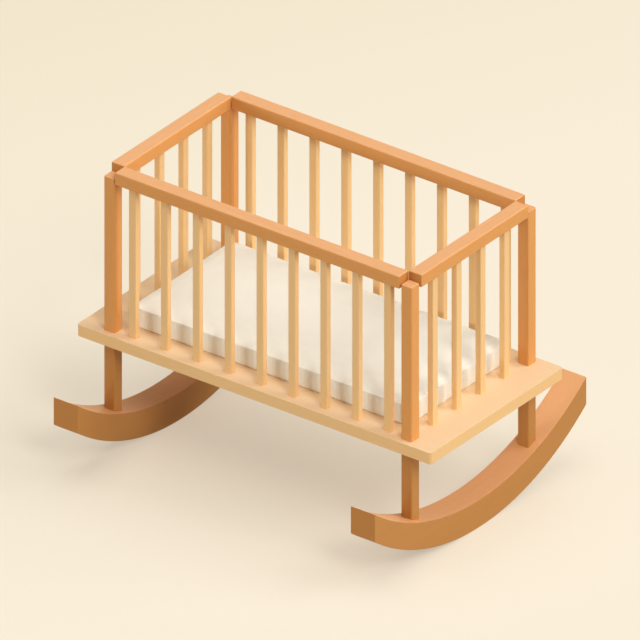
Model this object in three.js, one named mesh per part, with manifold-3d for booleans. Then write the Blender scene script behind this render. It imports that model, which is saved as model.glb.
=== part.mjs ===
// Rocking crib: a slatted wooden box on two curved rockers, with a loose mattress.
// Millimetres, +Z up, origin on the floor under the middle of the crib.
// X runs along the crib from left to right, and the front long side faces -Y.

import * as THREE from 'three';
import { mergeVertices } from 'three/addons/utils/BufferGeometryUtils.js';
import Module from 'manifold-3d';

const wasm = await Module();
wasm.setup();

// Base board
const boardLength = 910;
const boardWidth = 455;
const boardThickness = 27;
const boardCornerRadius = 7;
const boardUnderside = 260.5; // height above the floor

// Rockers: two arcs of one radius, the upper one raised by the depth
const rockerReach = 135.5; // how far each rocker runs on past the board's long sides
const rockerWidth = 62.5;
const rockerDepth = 64.6;
const rockerRadius = 587.3;
const rockerFacets = 29; // odd, so that a flat facet rests on the floor

// Posts above the board and legs below it, square and on the same centres
const postInsetEnd = 73; // from the board's end to the posts' centres
const postInsetSide = 27.5; // from the board's long side to the posts' centres
const postSide = 28;
const postHeight = 364;
const postEdgeBevel = 3.5;
const postTopBevel = 3;
const legTenonSide = 18;
const legTenonInPost = 30;
const legTenonInRocker = 32;

// Top rails
const railWidth = 34;
const railHeight = 30;
const railBevel = 3.5;
const railBelowPostTop = 11.4;
const railEndGap = 2; // open joint between a rail's end and the post, bridged by the dowel

// Slats
const slatWidth = 18;
const slatThickness = 14;
const slatBevel = 1.5;
const slatsPerSide = 9; // 82 mm apart, which leaves gaps of 64 mm
const slatsPerEnd = 4; // the same distance apart
const slatToPostSide = 54; // from an outer slat's centre to the post's, along a long side
const slatToPostEnd = 77; // the same, across an end
const slatTenonWidth = 12;
const slatTenonThickness = 8;
const slatTenonInBoard = 14;
const slatTenonInRail = 16;

// Dowels between the rails and the posts
const dowelDiameter = 4;
const dowelInPost = 8;
const dowelInRail = 18;
const dowelChamfer = 0.6;
const dowelSides = 10;

// Countersunk screws, driven up through each rocker into its legs
const screwDiameter = 4.5;
const screwLength = 45;
const screwHeadDiameter = 9;
const screwHeadHeight = 3;
const screwBelowTenon = 16; // rocker wood between the screw's head and the leg's tenon
const screwBoreDiameter = 13;
const screwSides = 12;

// Mattress
const mattressGapEnd = 12; // mean gap from the mattress's ends to the posts
const mattressGapSide = 14; // mean gap from its long sides to the posts
const mattressShiftLeft = 6; // it lies loose, a little towards the back left corner
const mattressShiftBack = 8;
const mattressSide = 44.5; // height of the upright side panel
const mattressHem = 3; // rounding under the side panel
const mattressCornerRadius = 20;
const mattressSideDraw = 1.5; // how far each side is drawn in between its corners
const crownEdgeRise = 3; // rise of the rounded edge above the side panel
const crownEdgeReach = 8; // how far in from the side the rounded edge runs
const crownMiddleRise = 5; // further rise from the rounded edge to the middle

// Clearances
const fitGap = 0.3; // all round a tenon, dowel or screw, and past its end
const seatGap = 0.3; // under a leg's scribed foot and under the mattress
const cornerGap = 0.8; // taken off each rail where two meet beside a post
const past = 10; // how far a cutter reaches past the face that it opens

// Heights and places worked out from the sizes above
const boardTop = boardUnderside + boardThickness;
const postX = boardLength / 2 - postInsetEnd;
const postY = boardWidth / 2 - postInsetSide;
const postTop = boardTop + postHeight;
const railUnderside = postTop - railBelowPostTop;
const slatHeight = railUnderside - boardTop;
const railOverhang = (railWidth - postSide) / 2 - railEndGap;
const railEndBevel = Math.max(railBevel, railOverhang + cornerGap);
const dowelHeight = (railUnderside + railEndBevel + postTop - postTopBevel) / 2;

const rockerHalfAngle = Math.asin((boardWidth / 2 + rockerReach) / rockerRadius);
const rockerCentre = rockerRadius * Math.cos(rockerHalfAngle / rockerFacets);
const legFoot = rockerCentre + rockerDepth - Math.sqrt(rockerRadius ** 2 - postY ** 2);
const legTenonEnd = legFoot - legTenonInRocker;
const screwHeadEnd = legTenonEnd - fitGap - screwBelowTenon;

const mattressLength = 2 * (postX - postSide / 2 - mattressGapEnd);
const mattressWidth = 2 * (postY - postSide / 2 - mattressGapSide);

// Materials
function finish(name, color, roughness, metalness = 0) {
  return new THREE.MeshStandardMaterial({ name, color, roughness, metalness });
}

const darkWood = finish('dark_wood', 0xdb9559, 0.55);
const lightWood = finish('light_wood', 0xf0c48b, 0.6);
const fabric = finish('mattress_fabric', 0xf5eedd, 0.9);
const steel = finish('steel', 0xb9bcc0, 0.35, 0.9);

// Geometry of a solid once its shared corners are merged, and back again
function toSolid(geometry) {
  const bare = geometry.clone();
  bare.deleteAttribute('normal');
  bare.deleteAttribute('uv');
  const welded = mergeVertices(bare, 1e-4);
  return new wasm.Manifold(new wasm.Mesh({
    numProp: 3,
    vertProperties: new Float32Array(welded.getAttribute('position').array),
    triVerts: new Uint32Array(welded.getIndex().array),
  }));
}

function toGeometry(solid) {
  const mesh = solid.getMesh();
  const geometry = new THREE.BufferGeometry();
  geometry.setAttribute('position', new THREE.BufferAttribute(mesh.vertProperties, 3));
  geometry.setIndex(new THREE.BufferAttribute(mesh.triVerts, 1));
  geometry.computeVertexNormals();
  return geometry;
}

function join(first, second) {
  return toGeometry(toSolid(first).add(toSolid(second)));
}

function cut(body, ...tools) {
  const rest = tools.reduce((solid, tool) => solid.subtract(toSolid(tool)), toSolid(body));
  return toGeometry(rest);
}

// Closed skin over a stack of rings of equally many [x, y, z] points, lowest ring first
function skin(rings) {
  const count = rings[0].length;
  const last = (rings.length - 1) * count;
  const index = [];
  for (let start = 0; start < last; start += count) {
    for (let i = 0; i < count; i++) {
      const a = start + i;
      const b = start + (i + 1) % count;
      index.push(a, b, b + count, a, b + count, a + count);
    }
  }
  const outline = rings[0].map(([x, y]) => new THREE.Vector2(x, y));
  for (const [a, b, c] of THREE.ShapeUtils.triangulateShape(outline, [])) {
    index.push(a, c, b, last + a, last + b, last + c);
  }
  const geometry = new THREE.BufferGeometry();
  geometry.setAttribute('position', new THREE.Float32BufferAttribute(rings.flat(2), 3));
  geometry.setIndex(index);
  geometry.computeVertexNormals();
  return geometry;
}

// Rectangle about the Z axis with its corners cut off at 45 degrees, at one height
function bevelledRing(width, depth, bevel, height) {
  const x = width / 2;
  const y = depth / 2;
  return [
    [x - bevel, -y, height], [x, bevel - y, height],
    [x, y - bevel, height], [x - bevel, y, height],
    [bevel - x, y, height], [-x, y - bevel, height],
    [-x, bevel - y, height], [bevel - x, -y, height],
  ];
}

// Upright bar of a bevelled section, whose ends can be bevelled as well
function bar({ width, depth, bevel, low, high, lowBevel = 0, highBevel = 0 }) {
  function ring(height, inset) {
    const narrowed = bevel - (2 - Math.SQRT2) * inset;
    return bevelledRing(width - 2 * inset, depth - 2 * inset, narrowed, height);
  }
  const rings = [ring(low + lowBevel, 0), ring(high - highBevel, 0)];
  if (lowBevel > 0) rings.unshift(ring(low, lowBevel));
  if (highBevel > 0) rings.push(ring(high, highBevel));
  return skin(rings);
}

// Block about the Z axis, from its lowest to its highest level
function block(width, depth, low, high) {
  return new THREE.BoxGeometry(width, depth, high - low).translate(0, 0, (low + high) / 2);
}

// Turned piece on the Z axis from a profile of [radius, height] pairs, bottom first
function turned(profile, sides) {
  const points = profile.map(([radius, height]) => new THREE.Vector2(radius, height));
  return new THREE.LatheGeometry(points, sides).rotateX(Math.PI / 2);
}

// Rockers
function rockerArc(centreHeight) {
  return Array.from({ length: rockerFacets + 1 }, (_, i) => {
    const angle = (2 * i / rockerFacets - 1) * rockerHalfAngle;
    const y = rockerRadius * Math.sin(angle);
    return new THREE.Vector2(y, centreHeight - rockerRadius * Math.cos(angle));
  });
}

// A rocker, or a cutter of its shape that is let down below it or raised above it
function rockerSolid({ width = rockerWidth, letDown = 0, raise = 0 } = {}) {
  const lower = rockerArc(rockerCentre - letDown);
  const upper = rockerArc(rockerCentre + rockerDepth + raise);
  const outline = new THREE.Shape([...lower, ...upper.reverse()]);
  return new THREE.ExtrudeGeometry(outline, { depth: width, bevelEnabled: false })
    .translate(0, 0, -width / 2)
    .rotateX(Math.PI / 2)
    .rotateZ(Math.PI / 2);
}

function rocker() {
  const side = legTenonSide + 2 * fitGap;
  const mortises = [-postY, postY].map(
    (y) => block(side, side, legTenonEnd - fitGap, legFoot + rockerDepth).translate(0, y, 0),
  );
  const screwHoles = [-postY, postY].map((y) => screwHole().translate(0, y, 0));
  return cut(rockerSolid(), ...mortises, ...screwHoles);
}

// Screws stand on their heads, with the point up in the leg's tenon
function screwProfile(grow) {
  const shank = screwDiameter / 2 + grow;
  const head = screwHeadDiameter / 2 + grow;
  return [
    [0, screwHeadEnd - grow],
    [head, screwHeadEnd - grow],
    [shank, screwHeadEnd + screwHeadHeight],
    [shank, screwHeadEnd + screwLength - screwDiameter],
    [0, screwHeadEnd + screwLength + grow],
  ];
}

// Room for a screw, with a bore for its head from under the rocker
function screwHole() {
  const bore = screwBoreDiameter / 2;
  const [, head, ...rest] = screwProfile(fitGap);
  return turned([[0, -past], [bore, -past], [bore, head[1]], head, ...rest], screwSides);
}

// Legs: a foot scribed to the rocker, and one tenon right through both ends
function leg() {
  const shaft = bar({
    width: postSide, depth: postSide, bevel: postEdgeBevel, low: 0, high: boardUnderside,
  });
  const underFoot = rockerSolid({
    width: postSide + 2 * past, letDown: boardUnderside, raise: seatGap,
  });
  const foot = cut(shaft, underFoot.translate(0, -postY, 0));
  const tenon = block(legTenonSide, legTenonSide, legTenonEnd, boardTop + legTenonInPost);
  return cut(join(foot, tenon), screwHole());
}

// Hole for a dowel, from its mouth at height zero upwards
function dowelHole(depth) {
  const radius = dowelDiameter / 2 + fitGap;
  const end = depth + fitGap;
  return turned([[0, -past], [radius, -past], [radius, end], [0, end]], dowelSides);
}

// Posts: a socket below for the leg's tenon, and a dowel hole in each inner face
function post() {
  const body = bar({
    width: postSide, depth: postSide, bevel: postEdgeBevel,
    low: boardTop, high: postTop, highBevel: postTopBevel,
  });
  const side = legTenonSide + 2 * fitGap;
  const socket = block(side, side, boardTop - past, boardTop + legTenonInPost + fitGap);
  const holeForEndRail = dowelHole(dowelInPost).rotateX(-Math.PI / 2)
    .translate(0, -postSide / 2, dowelHeight);
  const holeForLongRail = dowelHole(dowelInPost).rotateY(Math.PI / 2)
    .translate(-postSide / 2, 0, dowelHeight);
  return cut(body, socket, holeForEndRail, holeForLongRail);
}

// Places of the slats, evenly apart, with the outer ones at the same reach either way
function slatPlaces(count, reach) {
  return Array.from({ length: count }, (_, i) => (2 * i / (count - 1) - 1) * reach);
}

const longPlaces = slatPlaces(slatsPerSide, postX - slatToPostSide);
const endPlaces = slatPlaces(slatsPerEnd, postY - slatToPostEnd);

function slatMortise(low, high) {
  return block(slatTenonWidth + 2 * fitGap, slatTenonThickness + 2 * fitGap, low, high);
}

// Rails lie along X, with the slats' mortises below and a dowel hole in each end
function rail(postSpacing, places) {
  const length = postSpacing - postSide - 2 * railEndGap;
  const body = bar({
    width: railHeight, depth: railWidth, bevel: railBevel,
    low: -length / 2, high: length / 2, lowBevel: railEndBevel, highBevel: railEndBevel,
  }).rotateY(Math.PI / 2);
  const bottom = -railHeight / 2;
  const mortises = places.map(
    (x) => slatMortise(bottom - past, bottom + slatTenonInRail + fitGap).translate(x, 0, 0),
  );
  const holes = [-1, 1].map((end) => dowelHole(dowelInRail).rotateY(-end * Math.PI / 2)
    .translate(end * length / 2, 0, dowelHeight - railUnderside + bottom));
  return cut(body, ...mortises, ...holes);
}

// Slats stand at height zero, with a stub tenon at each end
function slat() {
  const body = bar({
    width: slatWidth, depth: slatThickness, bevel: slatBevel, low: 0, high: slatHeight,
  });
  const tenon = block(
    slatTenonWidth, slatTenonThickness, -slatTenonInBoard, slatHeight + slatTenonInRail,
  );
  return join(body, tenon);
}

// Dowels point up into the post, with the rail's end at height zero
function dowel() {
  const radius = dowelDiameter / 2;
  const low = -dowelInRail;
  const high = railEndGap + dowelInPost;
  return turned([
    [0, low], [radius - dowelChamfer, low], [radius, low + dowelChamfer],
    [radius, high - dowelChamfer], [radius - dowelChamfer, high], [0, high],
  ], dowelSides);
}

// Base board, with through holes for the legs' tenons and blind mortises for the slats
function boardOutline() {
  const x = boardLength / 2 - boardCornerRadius;
  const y = boardWidth / 2 - boardCornerRadius;
  const shape = new THREE.Shape();
  [[x, -y], [x, y], [-x, y], [-x, -y]].forEach(([cx, cy], corner) => {
    const from = (corner - 1) * Math.PI / 2;
    shape.absarc(cx, cy, boardCornerRadius, from, from + Math.PI / 2);
  });
  return shape;
}

function board() {
  const slab = new THREE.ExtrudeGeometry(boardOutline(), {
    depth: boardThickness, bevelEnabled: false, curveSegments: 3,
  });
  const holeSide = legTenonSide + 2 * fitGap;
  const top = boardThickness + past;
  const bottom = boardThickness - slatTenonInBoard - fitGap;
  const tools = [];
  for (const side of [-1, 1]) {
    for (const x of [-postX, postX]) {
      tools.push(block(holeSide, holeSide, -past, top).translate(x, side * postY, 0));
    }
    for (const x of longPlaces) {
      tools.push(slatMortise(bottom, top).translate(x, side * postY, 0));
    }
    for (const y of endPlaces) {
      tools.push(slatMortise(bottom, top).rotateZ(Math.PI / 2).translate(side * postX, y, 0));
    }
  }
  return cut(slab, ...tools);
}

// Mattress outline at one height: round corners with the sides drawn in between them
function mattressRing(inset, height) {
  const cornerSteps = 4;
  const sideSteps = 10;
  const radius = Math.max(mattressCornerRadius - inset, mattressHem);
  const x = mattressLength / 2 - inset - radius;
  const y = mattressWidth / 2 - inset - radius;
  const draw = mattressSideDraw * Math.max(0, 1 - inset / crownEdgeReach);
  const arcs = [[x, -y], [x, y], [-x, y], [-x, -y]].map(([cx, cy], corner) => (
    Array.from({ length: cornerSteps + 1 }, (_, i) => {
      const angle = (corner - 1 + i / cornerSteps) * Math.PI / 2;
      return new THREE.Vector2(cx + radius * Math.cos(angle), cy + radius * Math.sin(angle));
    })
  ));
  const points = arcs.flatMap((arc, corner) => {
    const from = arc[cornerSteps];
    const to = arcs[(corner + 1) % arcs.length][0];
    const along = to.clone().sub(from);
    const inward = new THREE.Vector2(-along.y, along.x).normalize();
    const side = Array.from({ length: sideSteps - 1 }, (_, i) => {
      const share = (i + 1) / sideSteps;
      return from.clone().addScaledVector(along, share)
        .addScaledVector(inward, draw * Math.sin(Math.PI * share));
    });
    return [...arc, ...side];
  });
  return points.map((point) => [point.x, point.y, height]);
}

// Height of the crown at a distance in from the side
function crownHeight(inset) {
  const edge = Math.min(inset / crownEdgeReach, 1);
  const middle = inset / (mattressWidth / 2);
  return mattressSide + crownEdgeRise * Math.sqrt(1 - (1 - edge) ** 2)
    + crownMiddleRise * Math.sin(middle * Math.PI / 2);
}

function mattress() {
  const rings = [
    mattressRing(mattressHem, 0),
    mattressRing(0, mattressHem),
    mattressRing(0, mattressSide),
  ];
  const edgeInsets = [0.02, 0.08, 0.2, 0.4, 0.7, 1].map((share) => share * crownEdgeReach);
  const middleInsets = [0.2, 0.4, 0.65, 0.9].map((share) => share * mattressWidth / 2);
  for (const inset of [...edgeInsets, ...middleInsets]) {
    rings.push(mattressRing(inset, crownHeight(inset)));
  }
  return skin(rings);
}

// Assembly
const crib = new THREE.Group();

function place(name, geometry, material, position, turn = [0, 0, 0]) {
  const mesh = new THREE.Mesh(geometry, material);
  mesh.name = name;
  mesh.position.set(...position);
  mesh.rotation.set(...turn);
  crib.add(mesh);
}

const quarterTurn = Math.PI / 2;
const ends = [['left', -1], ['right', 1]];
const sides = [['front', -1], ['back', 1]];

const rockerShape = rocker();
for (const [end, sx] of ends) {
  place(`rocker_${end}`, rockerShape, darkWood, [sx * postX, 0, 0]);
}

// Quarter turns that bring the inner faces of the back right post round to face the crib
const postTurns = { back_right: 0, back_left: 1, front_left: 2, front_right: 3 };
const legShape = leg();
const postShape = post();
const screwShape = turned(screwProfile(0), screwSides);
for (const [side, sy] of sides) {
  for (const [end, sx] of ends) {
    const corner = `${side}_${end}`;
    const at = [sx * postX, sy * postY, 0];
    place(`leg_${corner}`, legShape, darkWood, at, [0, 0, sy > 0 ? 0 : Math.PI]);
    place(`post_${corner}`, postShape, darkWood, at, [0, 0, postTurns[corner] * quarterTurn]);
    place(`rocker_screw_${corner}`, screwShape, steel, at);
  }
}

place('base_board', board(), lightWood, [0, 0, boardUnderside]);

const slatShape = slat();
const dowelShape = dowel();
const railMiddle = railUnderside + railHeight / 2;
const longRail = rail(2 * postX, longPlaces);
const endRail = rail(2 * postY, endPlaces);
const railEndInset = postSide / 2 + railEndGap;
for (const [side, sy] of sides) {
  place(`rail_${side}`, longRail, darkWood, [0, sy * postY, railMiddle]);
  longPlaces.forEach((x, i) => {
    place(`slat_${side}_${i + 1}`, slatShape, lightWood, [x, sy * postY, boardTop]);
  });
  for (const [end, sx] of ends) {
    const at = [sx * (postX - railEndInset), sy * postY, dowelHeight];
    place(`dowel_${side}_${end}`, dowelShape, lightWood, at, [0, sx * quarterTurn, 0]);
  }
}
for (const [end, sx] of ends) {
  const turn = [0, 0, quarterTurn];
  place(`rail_${end}`, endRail, darkWood, [sx * postX, 0, railMiddle], turn);
  endPlaces.forEach((y, i) => {
    place(`slat_${end}_${i + 1}`, slatShape, lightWood, [sx * postX, y, boardTop], turn);
  });
  for (const [side, sy] of sides) {
    const at = [sx * postX, sy * (postY - railEndInset), dowelHeight];
    place(`dowel_${end}_${side}`, dowelShape, lightWood, at, [-sy * quarterTurn, 0, 0]);
  }
}

place('mattress', mattress(), fabric, [-mattressShiftLeft, mattressShiftBack, boardTop + seatGap]);

export default crib;
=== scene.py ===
"""Looks of a rocking crib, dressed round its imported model.

Each wooden piece is made again with eased edges, its tenons and its sockets, and the mattress is
sewn and filled. Everything is in metres in the model's own frame: X along the crib from left to
right, Y from its front to its back, and Z up from the floor.
"""

import logging
import math
from collections.abc import Callable, Iterable, Sequence
from dataclasses import dataclass, field
from enum import Enum

import bmesh
import bpy
from mathutils import Matrix, Vector


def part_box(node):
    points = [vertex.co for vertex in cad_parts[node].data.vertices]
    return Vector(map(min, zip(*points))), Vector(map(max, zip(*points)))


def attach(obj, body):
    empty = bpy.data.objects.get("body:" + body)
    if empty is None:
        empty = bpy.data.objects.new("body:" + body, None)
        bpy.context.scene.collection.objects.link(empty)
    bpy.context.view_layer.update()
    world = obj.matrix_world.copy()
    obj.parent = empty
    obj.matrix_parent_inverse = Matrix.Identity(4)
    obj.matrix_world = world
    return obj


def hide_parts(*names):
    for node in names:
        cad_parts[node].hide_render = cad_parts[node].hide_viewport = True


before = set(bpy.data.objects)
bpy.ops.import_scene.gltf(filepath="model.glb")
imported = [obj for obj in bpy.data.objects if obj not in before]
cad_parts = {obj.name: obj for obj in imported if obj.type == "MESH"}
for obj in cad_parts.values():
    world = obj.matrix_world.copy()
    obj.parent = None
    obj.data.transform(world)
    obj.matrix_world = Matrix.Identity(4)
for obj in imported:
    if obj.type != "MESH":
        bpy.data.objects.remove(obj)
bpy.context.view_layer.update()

MM = 0.001
CLEARANCE = 0.3 * MM  # round and beyond a tenon, a dowel or a screw's head, and under a foot
TIP_EASE = 1.0 * MM  # rounding of a tenon's tip
EASE_STEPS = 4
LEAST_EDGE = 0.4 * MM  # radius of a bar's long edges where they are drawn in
LEAST_RADIUS = 0.05 * MM  # of a ring's corners
SIDE_RADII = 2.01  # fewest radii of its corners in a ring's side
ROUND_SIDES = 24  # steps round a screw or a dowel's hole
SHOWN_RAYS = ("Is Camera Ray", "Is Glossy Ray", "Is Transmission Ray")
FRAME_BODY = "crib_frame"
MATTRESS_BODY = "mattress"
GRAIN = "grain"
END_GRAIN = "end_grain"
# faces that look up, which take a lighter colour as painted light
PAINTED_TOP_LIGHT = "painted_top_light"
# random tone of each piece, with painted shade added for the pieces under the board
TONE_AND_SHADE = "tone"
SEAM_SHADE = "seam_shade"
BORDER_PANEL = "border_panel"

Triple = tuple[float, float, float]
Values = dict[int | str, object]
Height = float | Callable[[float, float], float]
Ring = list[Vector]
Mesh = bpy.types.Mesh

log = logging.getLogger("crib")


class Axis(Enum):
    """The direction in which a piece's fibres run, in its own frame."""

    X = 0
    Y = 1
    Z = 2


class Corner(Enum):
    """A corner of the crib, as the nodes spell it."""

    FRONT_LEFT = "front_left"
    FRONT_RIGHT = "front_right"
    BACK_LEFT = "back_left"
    BACK_RIGHT = "back_right"

    @property
    def dowels(self) -> tuple[str, str]:
        """The nodes of its two dowels, for the rail along X and the one along Y."""
        row, end = self.value.split("_")
        return f"dowel_{row}_{end}", f"dowel_{end}_{row}"


class Side(Enum):
    """A side of the crib, as the nodes spell it."""

    FRONT = "front"
    BACK = "back"
    LEFT = "left"
    RIGHT = "right"

    @property
    def is_long(self) -> bool:
        """Whether the side is one of the two along X."""
        return self in (Side.FRONT, Side.BACK)

    @property
    def turn(self) -> Matrix:
        """The turn from the X axis to the side's own direction."""
        return Matrix.Identity(4) if self.is_long else Matrix.Rotation(math.pi / 2, 4, "Z")


class Wire:
    """A node's output that takes part in Python arithmetic."""

    def __init__(self, graph: "Graph", output: bpy.types.NodeSocket | None) -> None:
        """Wrap an output of a graph."""
        self.graph = graph
        self.output = output

    def _math(self, operation: str, first: "Wire | float", second: "Wire | float") -> "Wire":
        """Add a Math node for two values."""
        return self.graph.node("Math", {"operation": operation}, {0: first, 1: second})

    def __add__(self, other: "Wire | float") -> "Wire":
        """Sum."""
        return self._math("ADD", self, other)

    __radd__ = __add__

    def __mul__(self, other: "Wire | float") -> "Wire":
        """Product."""
        return self._math("MULTIPLY", self, other)

    __rmul__ = __mul__

    def __sub__(self, other: "Wire | float") -> "Wire":
        """Difference."""
        return self._math("SUBTRACT", self, other)

    def __rsub__(self, other: float) -> "Wire":
        """Difference from a number."""
        return self._math("SUBTRACT", other, self)


class Graph:
    """The node tree of one material or world."""

    def __init__(self, owner: bpy.types.Material | bpy.types.World) -> None:
        """Start an empty tree.

        Args:
            owner: What the tree belongs to.
        """
        owner.use_nodes = True
        self.tree = owner.node_tree
        self.tree.nodes.clear()

    def node(self, kind: str, settings: Values, sockets: Values, output: int | str = 0) -> Wire:
        """Add a node.

        Args:
            kind: The node's type, after ShaderNode.
            settings: Its own settings, with a ramp's two stops as pairs of place and grey.
            sockets: Values or wires for its inputs, by name or number.
            output: The output to return.

        Returns:
            The output as a wire, which is empty for an output node.
        """
        made = self.tree.nodes.new(f"ShaderNode{kind}")
        for name, value in settings.items():
            if name == "stops":
                for element, (place, grey) in zip(made.color_ramp.elements, value):
                    element.position, element.color = place, (grey, grey, grey, 1.0)
            else:
                setattr(made, name, value)
        for name, value in sockets.items():
            if isinstance(value, Wire):
                self.tree.links.new(value.output, made.inputs[name])
            else:
                made.inputs[name].default_value = value
        return Wire(self, made.outputs[output] if len(made.outputs) else None)

    def blend(self, share: Wire | float, first: Wire | Triple, second: Wire | Triple) -> Wire:
        """Blend from a first colour to a second by the second's share."""
        a, b = (c if isinstance(c, Wire) else (*c, 1.0) for c in (first, second))
        return self.node("Mix", {"data_type": "RGBA"}, {0: share, 6: a, 7: b}, 2)

    def noise(self, place: Wire, scale: Triple, fine: float, rough: float = 0.5) -> Wire:
        """Noise about one half, by its features per metre along each axis and its octaves."""
        place = self.node("VectorMath", {"operation": "MULTIPLY"}, {0: place, 1: scale})
        return self.node("TexNoise", {}, {0: place, "Scale": 1, "Detail": fine, "Roughness": rough})

    def attribute(self, name: str, output: str = "Fac") -> Wire:
        """Read a mesh attribute."""
        return self.node("Attribute", {"attribute_name": name}, {}, output)

    def bump(self, strength: float, distance: float, height: Wire) -> Wire:
        """Turn a height into a normal."""
        return self.node("Bump", {}, {"Strength": strength, "Distance": distance, "Height": height})


@dataclass(frozen=True)
class Finish:
    """What every finish has."""

    name: str  # of the material
    slot: str  # name of its slot, not used by this script

    def material(self) -> bpy.types.Material:
        """Make the material, once.

        Returns:
            The material.
        """
        made = bpy.data.materials.get(self.name)
        if made is None:
            made = bpy.data.materials.new(self.name)
            graph = Graph(made)
            shader = graph.node("BsdfPrincipled", {}, self._surface(graph))
            graph.node("OutputMaterial", {}, {"Surface": shader})
        return made

    def _surface(self, graph: Graph) -> Values:
        """The shader's inputs, by socket."""
        raise NotImplementedError


@dataclass(frozen=True)
class WoodFinish(Finish):
    """A clear satin finish on one kind of wood."""

    face: Triple  # colour of the plain face
    streak: Triple  # colour of the denser growth
    top_light_colour: Triple  # painted light: a lighter colour for faces that look up
    end: Triple  # colour of end grain
    figure: float  # how far the streaks show
    roughness: float  # of the lacquer
    bends: Triple = (9.0, 9.0, 2.0)  # of the growth, per metre in both ways across and along it
    bands: Triple = (120.0, 45.0, 2.4)  # of growth, likewise
    fibres: Triple = (1300.0, 1300.0, 26.0)
    pores: Triple = (620.0, 620.0, 34.0)
    relief: float = 0.12 * MM  # of the fibres under the lacquer

    def _surface(self, graph: Graph) -> Values:
        """Streak and fleck the wood along its grain; paint light on tops, shade under the board.

        Args:
            graph: The material's graph.

        Returns:
            The shader's inputs, by socket.
        """
        place = graph.attribute(GRAIN, "Vector")
        sway = graph.noise(place, self.bends, 2.0) - 0.5
        shift = graph.node("CombineXYZ", {}, {"X": sway * 0.02, "Y": sway * 0.01})
        wavy = graph.node("VectorMath", {"operation": "ADD"}, {0: place, 1: shift})
        growth = graph.noise(wavy, self.bands, 3.0, 0.55)
        fibre = graph.noise(place, self.fibres, 2.0)
        dots = graph.noise(place, self.pores, 1.0)
        pore = graph.node("ValToRGB", {"stops": ((0.62, 0.0), (0.72, 1.0))}, {"Fac": dots})
        # Painted light: faces that look up go lighter, without end grain or painted shade.
        painted_top_light = graph.attribute(PAINTED_TOP_LIGHT) * 0.9
        end = graph.attribute(END_GRAIN) * (1 - painted_top_light)
        band = (growth - 0.42) * self.figure
        dense = graph.node("Clamp", {}, {"Value": band + graph.attribute(TONE_AND_SHADE) * (1 - painted_top_light)})
        plain = graph.blend(dense, graph.blend(painted_top_light, self.face, self.top_light_colour), self.streak)
        flecked = graph.blend(pore * 0.16, plain, self.streak)
        ended = graph.blend(end * 0.75, flecked, self.end)
        return {
            "Base Color": graph.blend((fibre - 0.5) * 0.5 + 0.1, ended, self.streak),
            "Roughness": (fibre - 0.5) * 0.16 + end * 0.12 + self.roughness,
            "Normal": graph.bump(0.22, self.relief, fibre * 0.6 + growth * 0.25 - pore * 0.3),
            "Specular IOR Level": 0.3,
            "Coat Weight": 0.06,
            "Coat Roughness": 0.35,
        }


@dataclass(frozen=True)
class CottonFinish(Finish):
    """A closely woven cotton cover."""

    cloth: Triple  # colour of the cloth
    panel: Triple  # colour of the border panel round the sides, cooler and darker than the top as painted shade
    mottle_and_seam_shade: Triple  # darker colour for the cloth's slubs, patches and threads, and painted shade in the seam
    thread: float = 1.1 * MM  # spacing of the threads
    slubs: Triple = (240.0, 60.0, 240.0)  # thicker threads, per metre
    clouds: Triple = (14.0, 14.0, 14.0)  # patches of tone, likewise
    relief: float = 0.15 * MM  # of the weave

    def _surface(self, graph: Graph) -> Values:
        """Weave the cloth and shade its seams.

        Args:
            graph: The material's graph.

        Returns:
            The shader's inputs, by socket.
        """
        place = graph.node("TexCoord", {}, {}, "Object")
        waves = []
        for letter in "XYZ":
            along = graph.node("SeparateXYZ", {}, {"Vector": place}, letter)
            turns = along * (2 * math.pi / self.thread)
            waves.append(graph.node("Math", {"operation": "SINE"}, {0: turns}))
        weave = sum(waves) * (1 / 3)
        slub = graph.noise(place, self.slubs, 2.0)
        cloud = graph.noise(place, self.clouds, 2.0)
        # The border panel is a cooler, darker cream than the top: painted shade on the mattress's
        # sides.
        base = graph.blend(graph.attribute(BORDER_PANEL), self.cloth, self.panel)
        # Painted shade along the seam's crease.
        seamed = graph.blend(graph.attribute(SEAM_SHADE) * 0.35, base, self.mottle_and_seam_shade)
        mottled = graph.blend((cloud - 0.4) * 0.1 + (slub - 0.45) * 0.1, seamed, self.mottle_and_seam_shade)
        return {
            "Base Color": graph.blend(0.03 - weave * 0.03, mottled, self.mottle_and_seam_shade),
            "Roughness": 0.88 + (slub - 0.5) * 0.1,
            "Normal": graph.bump(0.35, self.relief, weave * 0.6 + slub * 0.5),
            "Specular IOR Level": 0.15,
            "Sheen Weight": 0.08,
            "Sheen Roughness": 0.6,
        }


@dataclass(frozen=True)
class ZincFinish(Finish):
    """Bright zinc plate on a screw."""

    metal: Triple  # colour of the plate
    dull: float = 0.7  # share of that colour where it is stained
    stains: Triple = (500.0, 500.0, 500.0)  # per metre
    scratches: Triple = (4000.0, 4000.0, 300.0)  # likewise
    relief: float = 0.03 * MM  # of the scratches

    def _surface(self, graph: Graph) -> Values:
        """Stain and scratch the plate.

        Args:
            graph: The material's graph.

        Returns:
            The shader's inputs, by socket.
        """
        place = graph.node("TexCoord", {}, {}, "Object")
        stain = graph.noise(place, self.stains, 3.0)
        scratch = graph.noise(place, self.scratches, 1.0)
        dull = tuple(value * self.dull for value in self.metal)
        return {
            "Base Color": graph.blend(stain, self.metal, dull),
            "Roughness": 0.3 + stain * 0.2,
            "Metallic": 1.0,
            "Normal": graph.bump(0.2, self.relief, scratch),
        }


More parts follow.
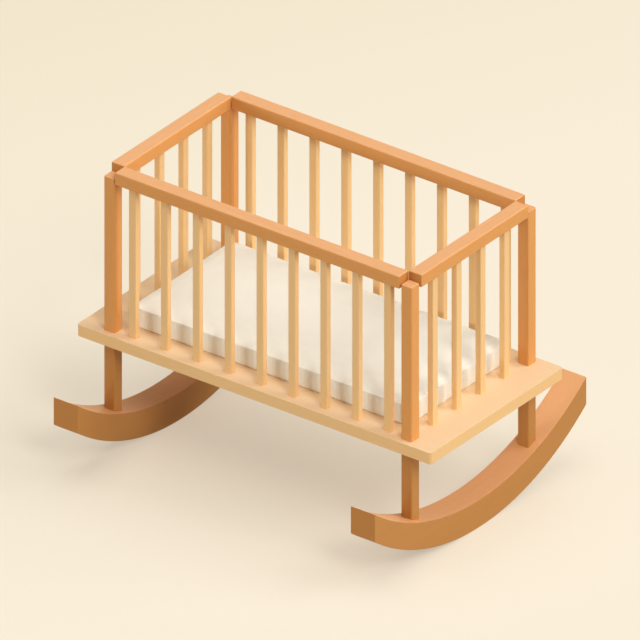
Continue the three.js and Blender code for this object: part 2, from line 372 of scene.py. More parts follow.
DARK_WOOD = WoodFinish(
    name="warm_brown_wood",
    slot="dark_wood",
    face=(0.812, 0.36, 0.099),
    streak=(0.455, 0.195, 0.041),
    top_light_colour=(0.9, 0.465, 0.218),
    end=(0.56, 0.226, 0.052),
    figure=0.16,
    roughness=0.52,
)
LIGHT_WOOD = WoodFinish(
    name="pale_wood",
    slot="light_wood",
    face=(0.938, 0.602, 0.273),
    streak=(0.72, 0.436, 0.171),
    top_light_colour=(0.905, 0.65, 0.4),
    end=(0.88, 0.552, 0.242),
    figure=0.18,
    roughness=0.56,
)
COTTON = CottonFinish(
    name="cream_cotton",
    slot="mattress_fabric",
    cloth=(0.975, 0.95, 0.83),
    panel=(0.93, 0.94, 0.86),
    mottle_and_seam_shade=(0.62, 0.54, 0.4),
)
ZINC = ZincFinish(name="zinc_plate", slot="steel", metal=(0.56, 0.57, 0.58))


@dataclass(frozen=True)
class Room:
    """The box that a CAD node fills, by its lowest and its highest corner."""

    low: Vector
    high: Vector

    @classmethod
    def of(cls, node: str) -> "Room":
        """The box of a named node."""
        return cls(*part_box(node))

    @property
    def centre(self) -> Vector:
        """The middle of the box."""
        return (self.low + self.high) / 2

    @property
    def size(self) -> Vector:
        """The box's three sides."""
        return self.high - self.low

    @property
    def length(self) -> float:
        """The longer of its two level sides."""
        return max(self.size.xy)

    def stand(self, height: float = 0.0) -> Matrix:
        """The place on the box's upright axis at one height."""
        return Matrix.Translation((self.centre.x, self.centre.y, height))


def level(height: Height, x: float, y: float) -> float:
    """The height at a place, which may follow a curve."""
    return height(x, y) if callable(height) else height


def ring(width: float, depth: float, radius: float, height: Height, steps: int = 4) -> Ring:
    """A rectangle with round corners about the Z axis.

    Args:
        width: Size along X.
        depth: Size along Y.
        radius: Radius of the corners.
        height: Its height, which may vary over it.
        steps: Steps round each corner.

    Returns:
        Its points, turning anticlockwise.
    """
    radius = max(min(radius, width / SIDE_RADII, depth / SIDE_RADII), LEAST_RADIUS)
    x, y = width / 2 - radius, depth / 2 - radius
    points = []
    for corner, (cx, cy) in enumerate([(x, -y), (x, y), (-x, y), (-x, -y)]):
        for step in range(steps + 1):
            angle = (corner - 1 + step / steps) * math.pi / 2
            px, py = cx + radius * math.cos(angle), cy + radius * math.sin(angle)
            points.append(Vector((px, py, level(height, px, py))))
    return points


def rounding(radius: float) -> list[tuple[float, float]]:
    """How far in from the side and short of the end a round edge runs, from side to end."""
    turns = [step / EASE_STEPS * math.pi / 2 for step in range(EASE_STEPS + 1)]
    return [(radius * (1 - math.cos(turn)), radius * (1 - math.sin(turn))) for turn in turns]


def skin(
    shape: bmesh.types.BMesh, rows: Sequence[Sequence[bmesh.types.BMVert]], closed: bool = True
) -> None:
    """Add the faces between rows of equally many points.

    Args:
        shape: The shape that holds the points.
        rows: The rows, in order.
        closed: Whether each row runs round to its start.
    """
    for below, above in zip(rows, rows[1:]):
        for i in range(len(below) if closed else len(below) - 1):
            j = (i + 1) % len(below)
            shape.faces.new((below[i], below[j], above[j], above[i]))


def finished(shape: bmesh.types.BMesh, name: str) -> Mesh:
    """Turn a shape's faces outward and make its mesh.

    Args:
        shape: The shape, which is used up.
        name: The mesh's name.

    Returns:
        The mesh.
    """
    bmesh.ops.recalc_face_normals(shape, faces=shape.faces)
    mesh = bpy.data.meshes.new(name)
    shape.to_mesh(mesh)
    shape.free()
    return mesh


def loft(rings: Iterable[Ring]) -> Mesh:
    """A closed mesh over a stack of rings of equally many points.

    Args:
        rings: The rings, in order.

    Returns:
        The mesh.
    """
    shape = bmesh.new()
    rows = [[shape.verts.new(point) for point in points] for points in rings]
    skin(shape, rows)
    shape.faces.new(rows[0][::-1])
    shape.faces.new(rows[-1])
    return finished(shape, "piece")


def moved(mesh: Mesh, place: Matrix) -> Mesh:
    """Move a mesh to its place."""
    mesh.transform(place)
    return mesh


def block(centre: Triple, size: Triple) -> Mesh:
    """A plain block, used as a cutter, by its middle and its three sides."""
    rings = [ring(size[0], size[1], 0.0, half * size[2], 1) for half in (-0.5, 0.5)]
    return moved(loft(rings), Matrix.Translation(centre))


def turned(profile: Iterable[tuple[float, float]], sides: int = 32, flute: float = 0.0) -> Mesh:
    """A turned piece on the Z axis.

    Args:
        profile: Radius and height, from one end to the other, off the axis.
        sides: Steps round it.
        flute: Depth of a groove at every fourth step.

    Returns:
        The mesh, closed at both ends.
    """
    rings = []
    for radius, height in profile:
        points = []
        for step in range(sides):
            turn = 2 * math.pi * step / sides
            reach = radius - (flute if step % 4 == 0 else 0.0)
            points.append(Vector((reach * math.cos(turn), reach * math.sin(turn), height)))
        rings.append(points)
    return loft(rings)


@dataclass(frozen=True)
class End:
    """One end of a bar."""

    height: Height  # of its shoulder
    ease: float = 0.0  # rounding of its edges
    tenon: Triple | None = None  # its width, depth and length


@dataclass(frozen=True)
class Bar:
    """A straight bar along Z with eased edges."""

    width: float  # along X
    depth: float  # along Y
    edge: float  # radius of the long edges
    low: End
    high: End

    def mesh(self) -> Mesh:
        """The bar's mesh."""
        return loft([*self._rings(self.low, -1), *self._rings(self.high, 1)[::-1]])

    def _rings(self, end: End, way: int) -> list[Ring]:
        """The rings of one end, from its tip to the full section.

        Args:
            end: The end.
            way: 1 for the upper end and -1 for the lower.

        Returns:
            The rings.
        """
        if end.tenon:
            width, depth, length = end.tenon
            tip = level(end.height, 0.0, 0.0) + way * length
            return [
                ring(width - 2 * TIP_EASE, depth - 2 * TIP_EASE, TIP_EASE, tip),
                ring(width, depth, TIP_EASE, tip - way * TIP_EASE),
                ring(width, depth, TIP_EASE, end.height),
                self._section(end.height, 0.0),
            ]
        if not end.ease:
            return [self._section(end.height, 0.0)]
        steps = rounding(end.ease)[::-1]
        return [self._section(end.height - way * short, inset) for inset, short in steps]

    def _section(self, height: Height, inset: float) -> Ring:
        """The bar's section at one height, drawn in by an inset."""
        edge = max(self.edge - inset, LEAST_EDGE)
        return ring(self.width - 2 * inset, self.depth - 2 * inset, edge, height)


def added(name: str, data: bpy.types.ID) -> bpy.types.Object:
    """Add an object to the scene.

    Args:
        name: The object's name.
        data: Its mesh, light or camera.

    Returns:
        The object.
    """
    made = bpy.data.objects.new(name, data)
    bpy.context.scene.collection.objects.link(made)
    return made


def cut(mesh: Mesh, cutters: Sequence[Mesh]) -> Mesh:
    """Cut shapes out of a mesh.

    Args:
        mesh: The body.
        cutters: Closed meshes that don't touch one another.

    Returns:
        What is left of the body.
    """
    shape = bmesh.new()
    for cutter in cutters:
        shape.from_mesh(cutter)
    tool_mesh = bpy.data.meshes.new("tool")
    shape.to_mesh(tool_mesh)
    shape.free()
    tool, body = added("tool", tool_mesh), added("body", mesh)
    change = body.modifiers.new("cut", "BOOLEAN")
    change.operation = "DIFFERENCE"
    change.solver = "EXACT"
    change.object = tool
    state = bpy.context.evaluated_depsgraph_get()
    result = bpy.data.meshes.new_from_object(body.evaluated_get(state))
    bpy.data.objects.remove(tool)
    bpy.data.objects.remove(body)
    return result


def store(mesh: Mesh, name: str, domain: str, values: Sequence[float]) -> None:
    """Store one number for each point, edge or face of a mesh."""
    mesh.attributes.new(name, "FLOAT", domain).data.foreach_set("value", values)


@dataclass
class Joiner:
    """Sets finished pieces in place and keeps count of them."""

    made: list[str] = field(default_factory=list)  # names of the pieces set so far
    shift: Triple = (0.37, 0.23, 1.9)  # from one piece to the next in the plank
    row: int = 7  # pieces side by side in the plank
    vary: float = 0.04  # furthest that a piece's tone is from the wood's own
    wave: float = 2.4  # turn of that tone from one piece to the next
    end_face: float = 0.8  # least slope towards the fibres of a face with end grain
    up_face: float = 0.75  # least slope of a face that looks up and takes the painted top light

    def set_wood(
        self,
        node: str,
        mesh: Mesh,
        place: Matrix,
        wood: WoodFinish,
        fibres: Axis = Axis.Z,
        depth: float = 0.0,
    ) -> None:
        """Set one wooden piece, cut from its own part of the plank.

        Args:
            node: The CAD node that it stands for.
            mesh: Its mesh in its own frame, of which a copy is set.
            place: Where it goes.
            wood: Its finish.
            fibres: The way that its grain runs, in its own frame.
            depth: How much darker than the rest its wood is drawn, as painted shade.
        """
        mesh = mesh.copy()
        mesh.name = node
        number, along, turn = len(self.made), fibres.value, place.to_3x3()
        x, y, z = self.shift
        start = Vector((x * number, y * (number % self.row), z * number))
        order = [*(axis for axis in range(3) if axis != along), along]
        grain = []
        for vertex in mesh.vertices:
            grain.extend(Vector([vertex.co[axis] for axis in order]) + start)
        mesh.attributes.new(GRAIN, "FLOAT_VECTOR", "POINT").data.foreach_set("vector", grain)
        # A piece's tone varies at random; pieces under the board add painted shade.
        tone = depth + self.vary * math.sin(self.wave * number)
        ends = [float(abs(face.normal[along]) > self.end_face) for face in mesh.polygons]
        # faces that look up get the painted top light
        lit_tops = [float((turn @ face.normal).z > self.up_face) for face in mesh.polygons]
        store(mesh, END_GRAIN, "FACE", ends)
        store(mesh, TONE_AND_SHADE, "POINT", [tone] * len(mesh.vertices))
        store(mesh, PAINTED_TOP_LIGHT, "FACE", lit_tops)
        piece = self.set_piece(node, mesh, place, wood)
        piece.modifiers.new("even_normals", "WEIGHTED_NORMAL").keep_sharp = True

    def set_piece(
        self, node: str, mesh: Mesh, place: Matrix, finish: Finish, sharp: float = 40.0
    ) -> bpy.types.Object:
        """Set one piece of the frame, in place of its CAD node.

        Args:
            node: The CAD node that it stands for.
            mesh: Its mesh in its own frame.
            place: Where it goes.
            finish: Its finish.
            sharp: Least angle of an edge that looks sharp, in degrees.

        Returns:
            The piece.
        """
        mesh.materials.clear()
        mesh.materials.append(finish.material())
        mesh.polygons.foreach_set("use_smooth", [True] * len(mesh.polygons))
        mesh.set_sharp_from_angle(angle=math.radians(sharp))
        piece = added(f"{node}_finished", mesh)
        piece.matrix_world = place
        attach(piece, FRAME_BODY)
        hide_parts(node)
        self.made.append(node)
        log.info("%s: %d faces in %s", node, len(mesh.polygons), finish.name)
        return piece


@dataclass
class Assembly:
    """A group of pieces of the frame."""

    joiner: Joiner


@dataclass
class Rockers(Assembly):
    """The two curved rockers, with the legs' mortises and the screws' bores in them."""

    radius: float = 587.3 * MM  # of both curves
    depth: float = 64.6 * MM  # upright thickness
    ease: float = 1.2 * MM  # rounding of the edges
    tips: tuple[float, ...] = (0.35, 0.7, 0.92, 1.0)  # shares of it in the rings of each end
    tenon: float = 18.0 * MM  # side of a leg's tenon
    tenon_depth: float = 32.0 * MM  # how far the tenon reaches in
    bore: float = 6.5 * MM  # radius of the bore for a screw's head
    tone: float = 0.8  # painted shade: how much darker the wood under the board is drawn
    stations: int = 112  # steps along the curve

    @property
    def mortise(self) -> float:
        """Side of the square hole for a leg's tenon."""
        return self.tenon + 2 * CLEARANCE

    def underside(self, y: float) -> float:
        """Height of the lower curve at a distance from the middle."""
        return self.radius - math.sqrt(self.radius**2 - y**2)

    def top(self, y: float) -> float:
        """Height of the upper curve at a distance from the middle."""
        return self.underside(y) + self.depth

    def build(self) -> None:
        """Make and set both rockers."""
        shape = self._shape(Room.of("rocker_left").size)
        for node in ("rocker_left", "rocker_right"):
            place = Matrix.Translation((Room.of(node).centre.x, 0.0, 0.0))
            self.joiner.set_wood(node, shape, place, DARK_WOOD, Axis.Y, self.tone)

    def _shape(self, size: Vector) -> Mesh:
        """A rocker with its sockets.

        Args:
            size: The node's three sides.

        Returns:
            The mesh.
        """
        reach = size.y / 2
        swing = math.asin((reach - self.ease) / self.radius)
        rings = []
        for step in range(self.stations + 1):
            y = self.radius * math.sin(swing * (2 * step / self.stations - 1))
            rings.append(self._section(size.x, y, 0.0))
        for share in self.tips:
            inset = self.ease * (1 - math.sqrt(1 - share**2))
            y = reach - self.ease * (1 - share)
            rings.insert(0, self._section(size.x, -y, inset))
            rings.append(self._section(size.x, y, inset))
        head = Room.of("rocker_screw_front_left").low.z + CLEARANCE
        cutters = []
        for y in (Room.of("leg_front_left").centre.y, Room.of("leg_back_left").centre.y):
            middle = self.top(y) - self.tenon_depth - CLEARANCE + self.depth / 2
            cutters.append(block((0.0, y, middle), (self.mortise, self.mortise, self.depth)))
            bore = turned([(self.bore, -self.depth), (self.bore, head)])
            cutters.append(moved(bore, Matrix.Translation((0.0, y, 0.0))))
        return cut(loft(rings), cutters)

    def _section(self, width: float, y: float, inset: float) -> Ring:
        """The upright section at one place along the curve, drawn in by an inset."""
        flat = ring(width - 2 * inset, self.depth - 2 * inset, self.ease, 0.0, 3)
        return [Vector((p.x, y, self.underside(y) + self.depth / 2 + p.y)) for p in flat]


@dataclass
class Standards(Assembly):
    """The four legs under the board and the four posts over them."""

    rockers: Rockers
    edge: float = 3.6 * MM  # radius of the long edges
    top_ease: float = 2.4 * MM  # rounding of a post's top
    into_post: float = 30.0 * MM  # how far a leg's tenon reaches into the post

    def build(self) -> None:
        """Make and set every leg, and the post over it."""
        for corner in Corner:
            leg, post = f"leg_{corner.value}", f"post_{corner.value}"
            # The legs under the board take painted shade; the posts above it do not.
            place, tone = Room.of(leg).stand(), self.rockers.tone
            self.joiner.set_wood(leg, self._leg(Room.of(leg)), place, DARK_WOOD, Axis.Z, tone)
            self.joiner.set_wood(post, self._post(Room.of(post), corner), place, DARK_WOOD)

    def _leg(self, room: Room) -> Mesh:
        """A leg whose foot follows the rocker's curve.

        Args:
            room: The node's box.

        Returns:
            The mesh.
        """

        def foot(_: float, y: float) -> float:
            """Height of the foot at a place across the leg."""
            return self.rockers.top(room.centre.y + y) + CLEARANCE

        board, side = Room.of("base_board"), self.rockers.tenon
        low = End(foot, tenon=(side, side, self.rockers.tenon_depth))
        high = End(board.low.z, tenon=(side, side, board.size.z + self.into_post))
        return Bar(*room.size.xy, self.edge, low, high).mesh()

    def _post(self, room: Room, corner: Corner) -> Mesh:
        """A post with a socket below and a dowel hole in each inner face.

        Args:
            room: The node's box.
            corner: The post's corner.

        Returns:
            The mesh.
        """
        top = End(room.high.z, self.top_ease)
        body = Bar(*room.size.xy, self.edge, End(room.low.z), top).mesh()
        side, deep = self.rockers.mortise, self.into_post + CLEARANCE
        tools = [block((0.0, 0.0, room.low.z), (side, side, 2 * deep))]
        holes = (Dowels.hole(Room.of(dowel)) for dowel in corner.dowels)
        return cut(body, tools + [moved(hole, room.stand().inverted()) for hole in holes])


@dataclass
class Dowels(Assembly):
    """The dowels that join the rails to the posts."""

    chamfer: float = 0.6 * MM  # bevel at each end
    flutes: int = 12  # glue grooves round each dowel
    flute: float = 0.12 * MM  # depth of a groove

    @staticmethod
    def lie(room: Room) -> Matrix:
        """The place that lays the Z axis along a dowel's box."""
        axis = Vector((1.0, 0.0, 0.0)) if room.size.x > room.size.y else Vector((0.0, 1.0, 0.0))
        return Matrix.Translation(room.centre) @ axis.to_track_quat("Z", "Y").to_matrix().to_4x4()

    @staticmethod
    def hole(room: Room) -> Mesh:
        """The hole that a dowel's box lies in, as a cutter in the crib's frame."""
        radius, half = room.size.z / 2 + CLEARANCE, room.length / 2 + CLEARANCE
        return moved(turned([(radius, -half), (radius, half)], ROUND_SIDES), Dowels.lie(room))

    def build(self) -> None:
        """Make and set every dowel."""
        for node in (node for corner in Corner for node in corner.dowels):
            room = Room.of(node)
            self.joiner.set_wood(node, self._shape(room), self.lie(room), LIGHT_WOOD)

    def _shape(self, room: Room) -> Mesh:
        """A fluted dowel about its own Z axis.

        Args:
            room: The dowel's box.

        Returns:
            The mesh.
        """
        radius, half = room.size.z / 2, room.length / 2
        tip, full = radius - self.chamfer, half - self.chamfer
        profile = [(tip, -half), (radius, -full), (radius, full), (tip, half)]
        return turned(profile, self.flutes * 4, self.flute)


@dataclass
class Slats(Assembly):
    """The upright slats of all four sides."""

    along: int = 9  # on a long side
    across: int = 4  # on an end
    edge: float = 1.8 * MM  # radius of the long edges
    tenon: tuple[float, float] = (12.0 * MM, 8.0 * MM)  # its width and thickness

    def rooms(self) -> list[tuple[Side, str, Room]]:
        """Every slat's side, node and box.

        Returns:
            They, side by side.
        """
        found = []
        for side in Side:
            for number in range(1, 1 + (self.along if side.is_long else self.across)):
                node = f"slat_{side.value}_{number}"
                found.append((side, node, Room.of(node)))
        return found

    def mortise(self, side: Side, slat: Room, face: float) -> Mesh:
        """The mortise for one tenon of a slat.

        Args:
            side: The slat's side.
            slat: The slat's box.
            face: Height of the face that the tenon goes into.

        Returns:
            A cutter in the crib's frame.
        """
        width, depth = (size + 2 * CLEARANCE for size in self.tenon)
        if not side.is_long:
            width, depth = depth, width
        reach = min(face - slat.low.z, slat.high.z - face) + CLEARANCE
        return block((slat.centre.x, slat.centre.y, face), (width, depth, 2 * reach))

    def build(self) -> None:
        """Make and set every slat."""
        board_top, rail_underside = Room.of("base_board").high.z, Room.of("rail_front").low.z
        sample = Room.of("slat_front_1")
        low = End(board_top, tenon=(*self.tenon, board_top - sample.low.z))
        high = End(rail_underside, tenon=(*self.tenon, sample.high.z - rail_underside))
        shape = Bar(*sample.size.xy, self.edge, low, high).mesh()
        for side, node, room in self.rooms():
            self.joiner.set_wood(node, shape, room.stand() @ side.turn, LIGHT_WOOD)


@dataclass
class BaseBoard(Assembly):
    """The base board, with a hole for each leg's tenon and a mortise for each slat."""

    rockers: Rockers
    slats: Slats
    corner: float = 7.0 * MM  # radius of the corners in plan
    ease: float = 0.9 * MM  # rounding of the top and bottom edges

    def build(self) -> None:
        """Make and set the board."""
        room, side = Room.of("base_board"), self.rockers.mortise
        ends = End(room.low.z, self.ease), End(room.high.z, self.ease)
        slab = Bar(*room.size.xy, self.corner, *ends).mesh()
        tools = []
        for corner in Corner:
            leg = Room.of(f"leg_{corner.value}").centre
            tools.append(block((leg.x, leg.y, room.centre.z), (side, side, 2 * room.size.z)))
        for own, _, slat in self.slats.rooms():
            tools.append(self.slats.mortise(own, slat, room.high.z))
        place = Matrix.Identity(4)
        self.joiner.set_wood("base_board", cut(slab, tools), place, LIGHT_WOOD, Axis.X)


@dataclass
class Rails(Assembly):
    """The four top rails."""

    slats: Slats
    edge: float = 3.0 * MM  # radius of the long edges
    end_ease: float = 3.0 * MM  # rounding of the ends

    def build(self) -> None:
        """Make and set every rail."""
        for side in Side:
            node = f"rail_{side.value}"
            room = Room.of(node)
            lie = Matrix.Rotation(math.pi / 2, 4, "Y")
            place = Matrix.Translation(room.centre) @ side.turn @ lie
            self.joiner.set_wood(node, self._shape(side, room, place), place, DARK_WOOD)

    def _shape(self, side: Side, room: Room, place: Matrix) -> Mesh:
        """A rail along its own Z axis, with its mortises and dowel holes.

        Args:
            side: The rail's side.
            room: The node's box.
            place: Where the rail goes.

        Returns:
            The mesh.
        """
        half = room.length / 2
        ends = End(-half, self.end_ease), End(half, self.end_ease)
        body = Bar(room.size.z, min(room.size.xy), self.edge, *ends).mesh()
        slats = (slat for own, _, slat in self.slats.rooms() if own is side)
        tools = [self.slats.mortise(side, slat, room.low.z) for slat in slats]
        across = ("left", "right") if side.is_long else ("front", "back")
        tools += [Dowels.hole(Room.of(f"dowel_{side.value}_{end}")) for end in across]
        return cut(body, [moved(tool, place.inverted()) for tool in tools])


@dataclass
class Screws(Assembly):
    """The countersunk screws under the rockers."""

    pitch: float = 2.2 * MM  # from one thread to the next
    thread: float = 0.55 * MM  # height of the thread
    slope: float = 0.3  # share of the pitch over which it rises, and falls
    rim: float = 0.3 * MM  # bevel round the head
    seat: float = 3.0 * MM  # height of the countersunk head
    point: float = 0.15 * MM  # radius of the point
    recess: tuple[float, float] = (1.0 * MM, 1.8 * MM)  # width and depth of the cross in the head
    sharp: float = 35.0  # least angle of an edge that looks sharp, in degrees

    def build(self) -> None:
        """Make and set every screw."""
        for node in (f"rocker_screw_{corner.value}" for corner in Corner):
            room = Room.of(node)
            shape, place = self._shape(room), room.stand(room.low.z)
            self.joiner.set_piece(node, shape, place, ZINC, self.sharp)

    def _shape(self, room: Room) -> Mesh:
        """A screw standing on its head, with a cross in it.

        Args:
            room: The node's box.

        Returns:
            The mesh.
        """
        head, length = room.size.x / 2, room.size.z
        core = head / 2 - self.thread
        profile = [(head - self.rim, 0.0), (head, self.rim), (core, self.seat)]
        rise, slope = self.seat + self.pitch, self.slope * self.pitch
        while rise < length - 3 * self.pitch:
            profile += [(core, rise), (core + self.thread, rise + slope), (core, rise + 2 * slope)]
            rise += self.pitch
        profile += [(core, length - 2 * self.pitch), (self.point, length)]
        body = turned(profile, ROUND_SIDES)
        wide, deep = self.recess
        for arm in ((head, wide), (wide, head)):
            body = cut(body, [block((0.0, 0.0, 0.0), (*arm, 2 * deep))])
        return body


@dataclass
class Mattress:
    """The loose mattress: a border panel, a rounded edge above its seam, and a soft crown."""

    half: Vector = field(default_factory=lambda: Room.of("mattress").size / 2)
    panel: float = 44.5 * MM  # height of the border panel
    courses: tuple[float, ...] = (0.975, 0.88, 0.7, 0.5, 0.32, 0.18)  # its lines, as shares of it
    hem: float = 3.0 * MM  # rounding under the panel
    corner: float = 20.0 * MM  # radius of the corners in plan
    edge_rise: float = 3.0 * MM  # rise of the rounded edge above the seam
    edge_reach: float = 8.0 * MM  # how far in from the side the rounded edge runs
    middle_rise: float = 5.0 * MM  # further rise to the middle
    draw: float = 1.5 * MM  # how far each side is drawn in between its corners
    tuck: tuple[float, float] = (0.985, 0.97)  # shares of the plan that the base's middle keeps
    spacing: float = 9.0 * MM  # of the mesh away from the edges
    swell: float = 1.6 * MM  # furthest that the filling may move a point
    pressure: float = 4.0  # of the filling
    stiffness: float = 20.0  # of the cover
    seam_hold: float = 0.9  # how firmly the seam is held while the cover fills
    frames: int = 20  # that the filling takes

    def build(self) -> None:
        """Sew, fill and set the mattress."""
        room = Room.of("mattress")
        mesh, groups = self._sew()
        piece = added("mattress_filled", mesh)
        piece.location = room.stand(room.low.z).translation
        bpy.context.view_layer.update()
        self._fill(piece, groups)
        mesh = piece.data
        self._mark_seams(mesh, groups)
        mesh.materials.append(COTTON.material())
        mesh.polygons.foreach_set("use_smooth", [True] * len(mesh.polygons))
        finer = piece.modifiers.new("finer", "SUBSURF")
        finer.levels = finer.render_levels = 1
        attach(piece, MATTRESS_BODY)
        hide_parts("mattress")
        log.info("mattress: %d faces in %s", len(mesh.polygons), COTTON.name)

    def _lines(self, half: float) -> list[float]:
        """The mesh's lines across one direction, closer near both edges.

        Args:
            half: Half of the mattress's size in that direction.

        Returns:
            The places of the lines, from one edge to the other.
        """
        insets = [0.0, 0.25, 0.9, 2.2, 4.2, 6.8, 9.6, 12.5, 17.0, 22.0, 29.0]
        near = [half - inset * MM for inset in insets]
        inner = near[-1]
        count = max(2, round(2 * inner / self.spacing))
        middle = [inner - 2 * inner * i / count for i in range(1, count)]
        return near + middle + [-place for place in near[::-1]]

    def _plan(self, x: float, y: float) -> tuple[Vector, Vector, float]:
        """Round a place off into the corners of the outline.

        Args:
            x: Place along the mattress.
            y: Place across it.

        Returns:
            The rounded place, the way out from it, and its distance in from the side.
        """
        sign = Vector((math.copysign(1.0, x), math.copysign(1.0, y)))
        inner = Vector((self.half.x - self.corner, self.half.y - self.corner))
        over = Vector((max(abs(x) - inner.x, 0.0), max(abs(y) - inner.y, 0.0)))
        if min(over) <= 0.0:
            in_x, in_y = self.half.x - abs(x), self.half.y - abs(y)
            out = Vector((0.0, sign.y)) if in_y < in_x else Vector((sign.x, 0.0))
            return Vector((x, y)), out, min(in_x, in_y)
        way = over.normalized()
        return (inner + way * max(over)) * sign, way * sign, self.corner - max(over)

    def _spot(self, x: float, y: float, inward: float = 0.0, height: float | None = None) -> Triple:
        """Where a point of the cover lies, with the sides drawn in and the top crowned.

        Args:
            x: Place along the mattress, before its corners are rounded.
            y: Place across it, likewise.
            inward: How far in from the outline it is moved.
            height: Its height, unless it lies on top.

        Returns:
            Its place about the mattress's own middle.
        """
        place, out, inset = self._plan(x, y)
        near = min(inset / self.edge_reach, 1.0)
        shares = [abs(place[axis]) / self.half[axis] for axis in (0, 1)]
        for axis in (0, 1):
            bow = math.cos(math.pi / 2 * min(shares[1 - axis], 1.0))
            place[axis] *= 1 - self.draw * (1.0 - near) / self.half[axis] * bow
        if height is None:
            edge = self.edge_rise * math.sqrt(max(0.0, 1 - (1 - near) ** 2))
            crown = self.middle_rise * (1 - shares[0] ** 3) * (1 - shares[1] ** 2)
            height = self.panel + edge + crown
        return place.x - out.x * inward, place.y - out.y * inward, height

    def _sew(self) -> tuple[Mesh, dict[str, list[int]]]:
        """The mattress before it is filled.

        Returns:
            The mesh about its own middle, and the points of its seam, panel and base.
        """
        xs, ys = self._lines(self.half.x), self._lines(self.half.y)
        last_x, last_y = len(xs) - 1, len(ys) - 1
        shape = bmesh.new()

        def point(*where: float) -> bmesh.types.BMVert:
            """Add a point of the cover."""
            return shape.verts.new(self._spot(*where))

        top = [[point(x, y) for x in xs] for y in ys]
        walk = [(i, 0) for i in range(last_x)] + [(last_x, j) for j in range(last_y)]
        walk += [(i, last_y) for i in range(last_x, 0, -1)] + [(0, j) for j in range(last_y, 0, -1)]
        sides = [(0.0, share * self.panel) for share in self.courses] + rounding(self.hem)
        rows = [[top[j][i] for i, j in walk]]
        rows += [[point(xs[i], ys[j], *side) for i, j in walk] for side in sides]
        rim = dict(zip(walk, rows[-1]))
        wide, deep = self.tuck
        base = [
            [rim.get((i, j)) or point(x * wide, y * deep, 0.0, 0.0) for i, x in enumerate(xs)]
            for j, y in enumerate(ys)
        ]
        skin(shape, rows)
        for grid in (top, base):
            skin(shape, grid, closed=False)
        shape.verts.index_update()
        groups = {"seam": rows[:1], "panel": rows[1:], "base": base}
        numbers = {
            name: sorted({vert.index for row in part for vert in row})
            for name, part in groups.items()
        }
        return finished(shape, "mattress"), numbers

    def _fill(self, piece: bpy.types.Object, groups: dict[str, list[int]]) -> None:
        """Swell the cover with its filling, held at the seam and the base.

        Args:
            piece: The mattress.
            groups: Its points by name.
        """
        held = piece.vertex_groups.new(name="held")
        held.add(groups["base"], 1.0, "REPLACE")
        held.add(groups["seam"], self.seam_hold, "REPLACE")
        before = [vertex.co.copy() for vertex in piece.data.vertices]
        cloth = piece.modifiers.new("filling", "CLOTH")
        settings = cloth.settings
        settings.vertex_group_mass = held.name
        settings.use_pressure = True
        settings.uniform_pressure_force = self.pressure
        settings.effector_weights.gravity = 0.0
        settings.quality = 6
        for kind in ("tension", "compression", "bending"):
            setattr(settings, f"{kind}_stiffness", self.stiffness)
        cloth.collision_settings.use_collision = False
        cloth.point_cache.frame_start = 1
        cloth.point_cache.frame_end = self.frames
        scene = bpy.context.scene
        for number in range(1, self.frames + 1):
            scene.frame_set(number)
        state = bpy.context.evaluated_depsgraph_get()
        filled = bpy.data.meshes.new_from_object(piece.evaluated_get(state))
        for vertex, start in zip(filled.vertices, before):
            move = vertex.co - start
            if move.length > self.swell:
                move *= self.swell / move.length
            vertex.co = start + move
        piece.modifiers.remove(cloth)
        piece.vertex_groups.clear()
        old = piece.data
        piece.data = filled
        bpy.data.meshes.remove(old)
        scene.frame_set(1)

    @staticmethod
    def _mark_seams(mesh: Mesh, groups: dict[str, list[int]]) -> None:
        """Mark the seam and the border panel, and keep the seam crisp.

        Args:
            mesh: The mattress's mesh.
            groups: Its points by name.
        """
        seam, panel = set(groups["seam"]), set(groups["panel"])
        for name, part in ((SEAM_SHADE, seam), (BORDER_PANEL, panel)):
            values = [float(number in part) for number in range(len(mesh.vertices))]
            store(mesh, name, "POINT", values)
        crisp = [float(seam.issuperset(edge.vertices)) for edge in mesh.edges]
        store(mesh, "crease_edge", "EDGE", crisp)


@dataclass(frozen=True)
class SoftLamp:
    """A distant lamp."""

    name: str
    travel: Triple  # the way that its light travels
    level: float  # on a face square to it, where 1 shows a colour as it is written
    spread: float  # its angular size, in degrees

    def hang(self) -> None:
        """Add the lamp."""
        light = bpy.data.lights.new(self.name, "SUN")
        light.energy = self.level * math.pi
        light.angle = math.radians(self.spread)
        turn = Vector(self.travel).to_track_quat("-Z", "Y")
        added(self.name, light).rotation_euler = turn.to_euler()


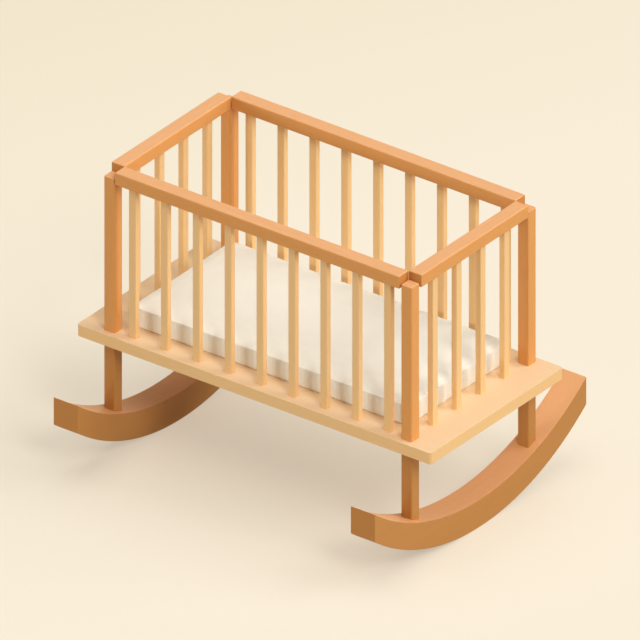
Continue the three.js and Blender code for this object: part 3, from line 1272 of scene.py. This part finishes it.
@dataclass
class Studio:
    """The pale floor, the soft light and the camera."""

    far: Triple = (0.852, 0.758, 0.565)  # colour of the floor at the far left
    near: Triple = (0.942, 0.842, 0.679)  # colour of the floor at the near right
    fade: Triple = (0.55, -0.25, 1.5)  # share of near, per metre along X and Y, and in the middle
    own_light: float = 0.5  # share of the floor's colour that shadows don't reach
    bounce: Triple = (0.52, 0.47, 0.38)  # colour that the floor reflects onto the crib
    floor_radius: float = 9.0
    floor_sides: int = 96
    sky: float = 0.19  # level of the light from all round
    azimuth: float = 36.85  # the camera's direction round the crib, in degrees
    elevation: float = 29.26  # the camera's height above the horizon, in degrees
    distance: float = 6.0  # the camera's
    picture: float = 640 / 0.486 * MM  # width of the picture, at the crib
    aim: float = 347.9 * MM  # height of the picture's middle over the crib's middle
    lamps: tuple[SoftLamp, ...] = (
        SoftLamp("key_lamp", (-0.95, 0.56, -1.0), 0.33, 18.0),
        SoftLamp("ceiling_lamp", (0.0, 0.0, -1.0), 0.34, 50.0),
        SoftLamp("side_lamp", (-1.0, -0.6, -1.0), 0.41, 40.0),
        SoftLamp("low_side_lamp", (-1.0, -0.3, -0.06), 0.14, 8.0),
        SoftLamp("front_lamp", (0.3, 1.0, -0.06), 0.1, 4.0),
        SoftLamp("front_left_lamp", (0.6, 1.0, -0.06), 0.1, 4.0),
    )

    def build(self) -> None:
        """Add the camera, the floor, the world and the lamps."""
        self._camera()
        self._floor()
        self._world()
        for lamp in self.lamps:
            lamp.hang()
        bpy.context.scene.view_settings.view_transform = "Standard"

    def _camera(self) -> None:
        """Add the camera, which sees without perspective."""
        turn, rise = math.radians(self.azimuth), math.radians(self.elevation)
        level_part = math.cos(rise)
        back = Vector((math.sin(turn) * level_part, -math.cos(turn) * level_part, math.sin(rise)))
        data = bpy.data.cameras.new("camera")
        data.type = "ORTHO"
        data.ortho_scale = self.picture
        data.clip_end = 10 * self.distance
        camera = added("camera", data)
        camera.location = Vector((0.0, 0.0, self.aim)) + back * self.distance
        camera.rotation_euler = (-back).to_track_quat("-Z", "Y").to_euler()
        bpy.context.scene.camera = camera

    @staticmethod
    def _shown(graph: Graph) -> Wire:
        """One for what the camera sees straight, in a mirror or through glass."""
        total = sum(graph.node("LightPath", {}, {}, ray) for ray in SHOWN_RAYS)
        return graph.node("Clamp", {}, {"Value": total})

    def _floor(self) -> None:
        """Add the floor, which keeps the crib's shadow."""
        rim = []
        for step in range(self.floor_sides):
            turn = 2 * math.pi * step / self.floor_sides
            rim.append(Vector((math.cos(turn), math.sin(turn), 0.0)) * self.floor_radius)
        mesh = bpy.data.meshes.new("floor")
        mesh.from_pydata(rim, [], [list(range(self.floor_sides))])
        material = bpy.data.materials.new("pale_floor")
        graph = Graph(material)
        place = graph.node("TexCoord", {}, {}, "Object")
        x, y = (graph.node("SeparateXYZ", {}, {"Vector": place}, letter) for letter in "XY")
        along, across, middle = self.fade
        nearness = graph.node("Clamp", {}, {"Value": x * along + y * across + middle})
        colour = graph.blend(nearness, self.far, self.near)
        shown = self._shown(graph)
        matt = graph.node("BsdfDiffuse", {}, {"Color": graph.blend(shown, self.bounce, colour)})
        glow = graph.node("Emission", {}, {"Color": colour, "Strength": 1.0})
        both = graph.node("MixShader", {}, {0: shown * self.own_light, 1: matt, 2: glow})
        graph.node("OutputMaterial", {}, {"Surface": both})
        mesh.materials.append(material)
        added("floor", mesh)

    def _world(self) -> None:
        """Light the crib evenly from all round, behind a pale backdrop."""
        world = bpy.data.worlds.new("studio")
        bpy.context.scene.world = world
        graph = Graph(world)
        colour = graph.blend(self._shown(graph), (self.sky, self.sky, self.sky), self.far)
        backdrop = graph.node("Background", {}, {"Color": colour, "Strength": 1.0})
        graph.node("OutputWorld", {}, {"Surface": backdrop})


def main() -> None:
    """Build the studio and the crib, piece by piece."""
    logging.basicConfig(level=logging.INFO, format="%(name)s: %(message)s")
    Studio().build()
    joiner = Joiner()
    rockers, slats = Rockers(joiner), Slats(joiner)
    rockers.build()
    Standards(joiner, rockers).build()
    BaseBoard(joiner, rockers, slats).build()
    slats.build()
    Rails(joiner, slats).build()
    Dowels(joiner).build()
    Screws(joiner).build()
    Mattress().build()
    log.info("%d pieces of wood and metal, and the mattress", len(joiner.made))


if __name__ == "__main__":
    main()
